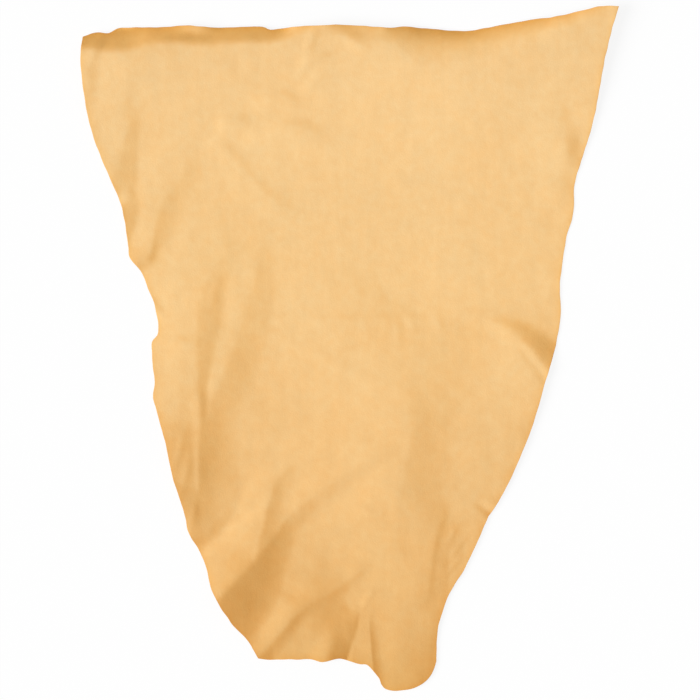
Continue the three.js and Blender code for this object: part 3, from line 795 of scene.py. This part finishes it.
@dataclass(frozen=True)
class SuedeFinish:
    """Napped ochre suede, paler at the rump and deeper at the neck, with painted shade and painted light over
    its folds.

    Attributes:
        along: Colours from the neck to the rump, each with its place along the skin.
        rosy: Tint of the pinker clouds.
        sallow: Tint of the yellower clouds.
        painted_shade_tint: Painted shade, a deeper ochre on flanks that face away from the lamp and in
            hollows.
        painted_light_tint: Painted light, paler, on flanks that face the lamp.
        cut: Tint along the cut edge.
        clouds: Pattern of the larger pinker and yellower clouds.
        flecks: Pattern of the smaller ones.
        streaks: Pattern of the short streaks along the skin.
        streak_scale: How the streaks' waves are drawn out along the skin.
        speckle: Pattern of the light and dark hairs.
        mottle: Pattern of the light and dark patches.
        darkest: Brightness where all three of these are dark.
        nap: Pattern of the nap's tufts.
        pores: Pattern of the pores between them.
        bump_strength: Strength of the tufts and pores.
        bump_depth: Depth of the tufts and pores.
        roughness: Roughness between the tufts.
        nap_roughness: How much the tufts add to it.
        specular: Level of the plain reflection.
        sheen: Weight of the nap's sheen.
        sheen_roughness: Roughness of the sheen.
        sheen_tint: Colour of the sheen.
    """

    along: tuple[tuple[float, Colour], ...] = (
        (0.0, shade(224, 171, 99)),
        (0.08, shade(232, 181, 113)),
        (0.3, shade(239, 191, 126)),
        (0.6, shade(245, 201, 138)),
        (1.0, shade(243, 200, 139)),
    )
    rosy: Colour = (1.02, 0.965, 0.89, 1.0)
    sallow: Colour = (0.98, 1.035, 1.11, 1.0)
    # Painted shade and painted light, laid over the colour where the skin's folds face away from the lamp or
    # towards it
    painted_shade_tint: Colour = (1.0, 0.8, 0.45, 1.0)
    painted_light_tint: Colour = (1.0, 1.04, 1.1, 1.0)
    cut: Colour = (1.0, 0.9, 0.72, 1.0)
    clouds: Grain = Grain(16.0, 4.0, 0.55)
    flecks: Grain = Grain(120.0, 2.0, 0.5)
    streaks: Grain = Grain(130.0, 3.0, 0.6, 0.07)
    streak_scale: tuple[float, float, float] = (1.0, 0.1, 1.0)
    speckle: Grain = Grain(420.0, 3.0, 0.7, 0.06)
    mottle: Grain = Grain(60.0, 3.0, 0.6, 0.12)
    darkest: float = 0.875
    nap: Grain = Grain(620.0, 3.0, 0.6, 0.6)
    pores: Grain = Grain(160.0, 2.0, 0.5, 0.4)
    bump_strength: float = 0.5
    bump_depth: float = 0.6 * MILLIMETRE
    roughness: float = 0.9
    nap_roughness: float = 0.1
    specular: float = 0.15
    sheen: float = 0.12
    sheen_roughness: float = 0.6
    sheen_tint: Colour = shade(255, 232, 196)

    def make(self, length: float) -> bpy.types.Material:
        """Makes the material.

        Args:
            length: Length of the skin, along which the colour changes.

        Returns:
            The material.
        """
        material = bpy.data.materials.new("suede")
        material.use_nodes = True
        board = Board(material.node_tree)
        place = board.node("ShaderNodeTexCoord", output="Object")
        colour = self._colour(board, place, length)
        nap = board.grain(place, self.nap)
        pores = board.grain(place, self.pores)
        bump = board.node("ShaderNodeBump", inputs={
            "Strength": self.bump_strength,
            "Distance": self.bump_depth,
            "Height": nap * self.nap.weight + pores * self.pores.weight,
        })
        surface = board.node("ShaderNodeBsdfPrincipled", inputs={
            "Base Color": colour,
            "Roughness": self.roughness + nap * self.nap_roughness,
            "Specular IOR Level": self.specular,
            "Sheen Weight": self.sheen,
            "Sheen Roughness": self.sheen_roughness,
            "Sheen Tint": self.sheen_tint,
            "Normal": bump,
        })
        board.node("ShaderNodeOutputMaterial", inputs={"Surface": surface})
        return material

    def _colour(self, board: Board, place: Signal, length: float) -> Signal:
        """Mixes the suede's colour.

        Args:
            board: Where the nodes go.
            place: The skin's coordinates.
            length: Length of the skin.

        Returns:
            The colour.
        """
        along = board.node("ShaderNodeSeparateXYZ", inputs={0: place}, output="Y")
        tone = board.node("ShaderNodeValToRGB", {"stops": self.along}, {0: along * (1.0 / length) + 0.5})
        for pattern in (self.clouds, self.flecks):
            tone = board.tint(tone, board.mix(board.grain(place, pattern), self.rosy, self.sallow))
        drawn = board.node("ShaderNodeMapping", inputs={"Vector": place, "Scale": self.streak_scale})
        level = self.darkest + board.grain(drawn, self.streaks) * self.streaks.weight
        for pattern in (self.speckle, self.mottle):
            level = level + board.grain(place, pattern) * pattern.weight
        grey = board.node("ShaderNodeCombineColor", inputs={0: level, 1: level, 2: level})
        tone = board.tint(tone, grey)
        # Painted shade on flanks facing away from the lamp and in hollows, painted light on flanks facing it
        painted = board.node("ShaderNodeAttribute", {"attribute_name": PAINTED_SHADE_AND_LIGHT}, output="Fac")
        tone = board.tint(tone, self.painted_shade_tint, painted)
        tone = board.tint(tone, self.painted_light_tint, -painted)
        rim = board.node("ShaderNodeAttribute", {"attribute_name": RIM}, output="Fac")
        return board.tint(tone, self.cut, rim)


@dataclass
class ChamoisSkin:
    """The skin: a grid drawn out to its plan, lifted over its folds and given its thickness.

    Attributes:
        finish: What it is finished in.
        thickness: Thickness of the leather.
        columns: Faces across.
        rows: Faces along.
        rim_cell: Width of the outermost faces, which round off the edge.
        rim_reach: How far the colour of the cut edge reaches in.
        rim_round: Rounding of the cut edge.
        rim_segments: Faces across the rounding.
        rim_angle: Least angle, in degrees, of the edges that are rounded.
        away_from_lamp: Direction away from the lamp, seen from above; flanks falling along it get painted
            shade.
        any_slope: How much painted shade a slope in any direction gets.
        shade_slope: Slope at which the painted shade, or the painted light on a rising flank, is most of the
            way full.
        hollow: Depth at which a hollow gets its full painted shade.
        hollow_shade: How strong that painted shade is.
        hollow_blur: How many times the heights are evened out to find the hollows.
        shade_blur: How many times the painted shade and light are evened out.
    """

    finish: SuedeFinish
    thickness: float = 1.0 * MILLIMETRE
    columns: int = 190
    rows: int = 235
    rim_cell: float = 1.2 * MILLIMETRE
    rim_reach: float = 4.0 * MILLIMETRE
    rim_round: float = 0.4 * MILLIMETRE
    rim_segments: int = 2
    rim_angle: float = 60.0
    # Painted shade on flanks that face away from the lamp, on steep flanks and in hollows, and painted light
    # on flanks that face it
    away_from_lamp: tuple[float, float] = (0.9, 0.44)
    any_slope: float = 0.25
    shade_slope: float = 0.25
    hollow: float = 8.0 * MILLIMETRE
    hollow_shade: float = 0.5
    hollow_blur: int = 60
    shade_blur: int = 1

    def build(self) -> bpy.types.Object:
        """Models the skin.

        Returns:
            The finished piece.
        """
        low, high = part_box(SKIN_NODE)
        size = np.array([high.x - low.x, high.y - low.y])
        middle = np.array([high.x + low.x, high.y + low.y]) / 2.0
        bpy.ops.object.select_all(action="DESELECT")
        bpy.ops.mesh.primitive_grid_add(x_subdivisions=self.columns, y_subdivisions=self.rows, size=1.0)
        skin = bpy.context.object
        skin.name = "skin"
        skin.data.name = "skin"
        points = Plan(size, middle).patch(
            self._stations(self.columns, self.rim_cell / size[0]),
            self._stations(self.rows, self.rim_cell / size[1]),
        )
        inset = self._inset(points)
        heights = Relief().heights(points, size, inset)
        self._draw_out(skin.data, points, heights)
        # Painted shade and painted light for the finish, worked out from the slopes and hollows
        self._mark(skin.data, PAINTED_SHADE_AND_LIGHT, self._painted_shade_and_light(points, heights))
        self._mark(skin.data, RIM, np.exp(-inset / self.rim_reach))
        self._thicken(skin)
        self.dress(skin, size[1])
        return skin

    @staticmethod
    def _stations(count: int, rim_share: float) -> np.ndarray:
        """Gives shares from 0 to 1, evenly spaced but for a narrow first and last step."""
        steps = np.linspace(0.0, 1.0, count + 1)
        return np.interp(steps, [0.0, steps[1], steps[-2], 1.0], [0.0, rim_share, 1.0 - rim_share, 1.0])

    @staticmethod
    def _inset(points: np.ndarray) -> np.ndarray:
        """Measures how far each point lies from the nearest cut edge.

        Args:
            points: The grid of points.

        Returns:
            The distances.
        """
        border = np.concatenate([points[0], points[-1], points[:, 0], points[:, -1]])
        inset = [np.hypot(*(row[:, None] - border[None]).transpose(2, 0, 1)).min(axis=1) for row in points]
        return np.array(inset)

    def _painted_shade_and_light(self, points: np.ndarray, heights: np.ndarray) -> np.ndarray:
        """Works out the painted shade and light: shade on flanks that fall away from the lamp, and in
        hollows.

        Args:
            points: The grid of points.
            heights: Their heights.

        Returns:
            Painted shade from 0 to 1, below 0 for painted light on flanks that rise towards the lamp.
        """
        x_row, x_column = np.gradient(points[..., 0])
        y_row, y_column = np.gradient(points[..., 1])
        h_row, h_column = np.gradient(heights)
        turn = x_column * y_row - x_row * y_column
        slope_x = (h_column * y_row - h_row * y_column) / turn
        slope_y = (h_row * x_column - h_column * x_row) / turn
        rising = slope_x * self.away_from_lamp[0] + slope_y * self.away_from_lamp[1]
        falling = self.any_slope * np.hypot(slope_x, slope_y) - rising
        shaded = 1.0 - np.exp(-np.clip(falling, 0.0, None) / self.shade_slope)
        lit = 1.0 - np.exp(-np.clip(rising, 0.0, None) / self.shade_slope)
        sunk = np.clip((blurred(heights, self.hollow_blur) - heights) / self.hollow, 0.0, 1.0)
        painted = blurred(shaded - lit + self.hollow_shade * sunk, self.shade_blur)
        return np.clip(painted, -1.0, 1.0)

    @staticmethod
    def _draw_out(mesh: bpy.types.Mesh, points: np.ndarray, heights: np.ndarray) -> None:
        """Moves the grid's points to their places.

        Args:
            mesh: The grid's mesh, whose points run along its rows from the lower left.
            points: Where they go in the plan, from the rump down.
            heights: How high they stand.
        """
        placed = np.concatenate([points, heights[..., None]], axis=-1)[::-1]
        mesh.vertices.foreach_set("co", placed.astype(np.float32).ravel())
        mesh.update()

    @staticmethod
    def _mark(mesh: bpy.types.Mesh, name: str, values: np.ndarray) -> None:
        """Keeps a value on each point for the finish to read."""
        attribute = mesh.attributes.new(name, "FLOAT", "POINT")
        attribute.data.foreach_set("value", values[::-1].astype(np.float32).ravel())

    def _thicken(self, skin: bpy.types.Object) -> None:
        """Gives the skin its thickness and rounds its cut edge.

        Args:
            skin: The sheet as it is drawn out.
        """
        solid = skin.modifiers.new("thickness", "SOLIDIFY")
        solid.thickness = self.thickness
        solid.offset = 1.0
        bpy.ops.object.modifier_apply(modifier=solid.name)
        rounding = skin.modifiers.new("rounding", "BEVEL")
        rounding.width = self.rim_round
        rounding.segments = self.rim_segments
        rounding.limit_method = "ANGLE"
        rounding.angle_limit = math.radians(self.rim_angle)
        bpy.ops.object.modifier_apply(modifier=rounding.name)
        bpy.ops.object.shade_smooth()

    def dress(self, skin: bpy.types.Object, length: float) -> None:
        """Gives the skin its finish, puts it on its body and hides the imported part.

        Args:
            skin: The piece.
            length: Its length.
        """
        skin.data.materials.clear()
        skin.data.materials.append(self.finish.make(length))
        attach(skin, BODY)
        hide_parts(SKIN_NODE)


@dataclass
class Studio:
    """A white floor, soft light from the left and a camera straight above.

    Attributes:
        key_strength: Strength of the lamp.
        key_height: How high the lamp stands, in degrees.
        key_turn: How far it is turned from the left towards the neck, in degrees.
        key_spread: How wide the lamp is, in degrees.
        key_place: Where its object stands, which doesn't change its light.
        fill_strength: Strength of the light from all round.
        floor_size: Width of the floor.
        floor_drop: How far the floor lies under the skin.
        floor_colour: Colour that the light falls on.
        floor_glow: How much of what is seen of the floor is plain white.
        camera_height: Height of the camera over the floor.
        view_width: Width of what the camera sees on the floor.
        sensor: Width of the camera's sensor in millimetres.
        aim: The point of the floor under the camera.
    """

    key_strength: float = 3.56
    key_height: float = 35.0
    key_turn: float = 15.0
    key_spread: float = 40.0
    key_place: tuple[float, float, float] = (-1.5, -0.4, 1.5)
    fill_strength: float = 0.35
    floor_size: float = 14.0
    floor_drop: float = 0.3 * MILLIMETRE
    floor_colour: Colour = (0.95, 0.95, 0.95, 1.0)
    floor_glow: float = 0.88
    camera_height: float = 5.0
    view_width: float = 0.801
    sensor: float = 36.0
    aim: tuple[float, float] = (0.0003, -0.0015)

    def set_up(self) -> None:
        """Lays the floor, hangs the light and places the camera."""
        self._lay_floor()
        self._hang_key()
        self._fill()
        self._place_camera()

    @staticmethod
    def _seen_directly(board: Board) -> Signal:
        """Tells which rays see a thing as the viewer does.

        Args:
            board: Where the nodes go.

        Returns:
            1 for rays that come from the camera, a mirror or glass, and 0 for the rest.
        """
        camera = board.node("ShaderNodeLightPath", output="Is Camera Ray")
        glossy = board.node("ShaderNodeLightPath", output="Is Glossy Ray")
        through = board.node("ShaderNodeLightPath", output="Is Transmission Ray")
        settings = {"operation": "ADD", "use_clamp": True}
        return board.node("ShaderNodeMath", settings, {0: camera + glossy, 1: through})

    def _lay_floor(self) -> None:
        """Lays a white floor that keeps a faint shadow."""
        bpy.ops.object.select_all(action="DESELECT")
        bpy.ops.mesh.primitive_plane_add(size=self.floor_size, location=(0.0, 0.0, -self.floor_drop))
        floor = bpy.context.object
        floor.name = "floor"
        material = bpy.data.materials.new("floor")
        material.use_nodes = True
        board = Board(material.node_tree)
        matt = board.node("ShaderNodeBsdfDiffuse", inputs={"Color": self.floor_colour})
        white = board.node("ShaderNodeEmission", inputs={"Color": WHITE, "Strength": 1.0})
        share = self._seen_directly(board) * self.floor_glow
        surface = board.node("ShaderNodeMixShader", inputs={0: share, 1: matt, 2: white})
        board.node("ShaderNodeOutputMaterial", inputs={"Surface": surface})
        floor.data.materials.append(material)

    def _hang_key(self) -> None:
        """Hangs the main lamp on the left."""
        bpy.ops.object.light_add(type="SUN", location=self.key_place)
        lamp = bpy.context.object
        lamp.name = "key"
        height = math.radians(self.key_height)
        turn = math.radians(self.key_turn)
        level = math.cos(height)
        towards = Vector((-math.cos(turn) * level, -math.sin(turn) * level, math.sin(height)))
        lamp.rotation_mode = "QUATERNION"
        lamp.rotation_quaternion = towards.to_track_quat("Z", "Y")
        lamp.data.energy = self.key_strength
        lamp.data.angle = math.radians(self.key_spread)

    def _fill(self) -> None:
        """Lights the skin from all round, with a white background."""
        world = bpy.data.worlds.new("studio")
        world.use_nodes = True
        bpy.context.scene.world = world
        board = Board(world.node_tree)
        strength = self.fill_strength + self._seen_directly(board) * (1.0 - self.fill_strength)
        light = board.node("ShaderNodeBackground", inputs={"Color": WHITE, "Strength": strength})
        board.node("ShaderNodeOutputWorld", inputs={"Surface": light})

    def _place_camera(self) -> None:
        """Places the camera straight above, with the rump at the top of the picture."""
        bpy.ops.object.camera_add(location=(*self.aim, self.camera_height), rotation=(0.0, 0.0, 0.0))
        camera = bpy.context.object
        camera.name = "camera"
        camera.data.sensor_width = self.sensor
        camera.data.lens = self.sensor * self.camera_height / self.view_width
        bpy.context.scene.camera = camera


def main() -> None:
    """Builds the skin and its studio."""
    logging.basicConfig(level=logging.INFO, format="%(name)s: %(message)s")
    bpy.context.scene.view_settings.view_transform = "Standard"
    skin = ChamoisSkin(SuedeFinish()).build()
    log.info("%s: %d faces", skin.name, len(skin.data.polygons))
    Studio().set_up()
    log.info("studio: floor, key lamp, fill light and camera")


if __name__ == "__main__":
    main()
